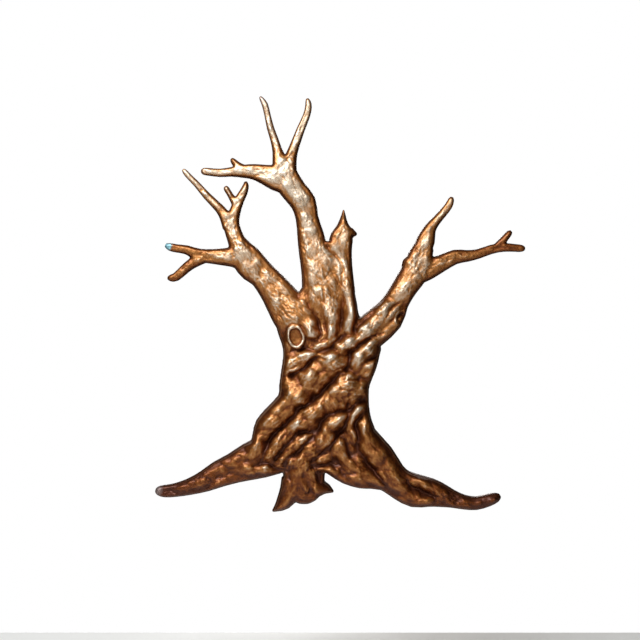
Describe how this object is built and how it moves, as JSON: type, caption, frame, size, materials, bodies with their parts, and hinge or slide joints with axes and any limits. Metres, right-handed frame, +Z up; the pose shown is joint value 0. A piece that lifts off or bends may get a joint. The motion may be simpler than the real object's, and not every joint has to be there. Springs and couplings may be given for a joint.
{
  "type": "tree of life wall relief",
  "caption": "Gnarled bare tree in cast bronze relief: twisted trunk, forked limbs and spreading roots, hollow behind, bolted from sections and hung on wall studs.",
  "frame": {"origin": "centre of the trunk's four wall studs, on the wall plane that the back of the tree touches", "axes": "+Z up the tree, +Y into the wall along the studs, -Y the carved front, +X to the viewer's right"},
  "size_m": [0.7406, 0.1082, 0.8317],
  "materials": {
    "bronze": "cast bronze with a dark brown patina rubbed back to gold on the high parts",
    "steel": "stainless, as machined"
  },
  "bodies": {
    "root": {"trunk": "bronze", "left_limb": "bronze", "centre_limb": "bronze", "broken_limb": "bronze", "right_limb": "bronze", "left_root": "bronze", "tap_root": "bronze", "right_root": "bronze", "left_long_twig": "bronze", "left_forked_twig": "bronze", "left_outer_twig": "bronze", "centre_side_branch": "bronze", "centre_left_twig": "bronze", "centre_right_twig": "bronze", "right_upper_twig": "bronze", "right_outer_twig": "bronze", "twig_dowels": "steel", "flange_screws": "steel", "flange_washers": "steel", "flange_nuts": "steel", "wall_studs": "steel"}
  },
  "joints": []
}
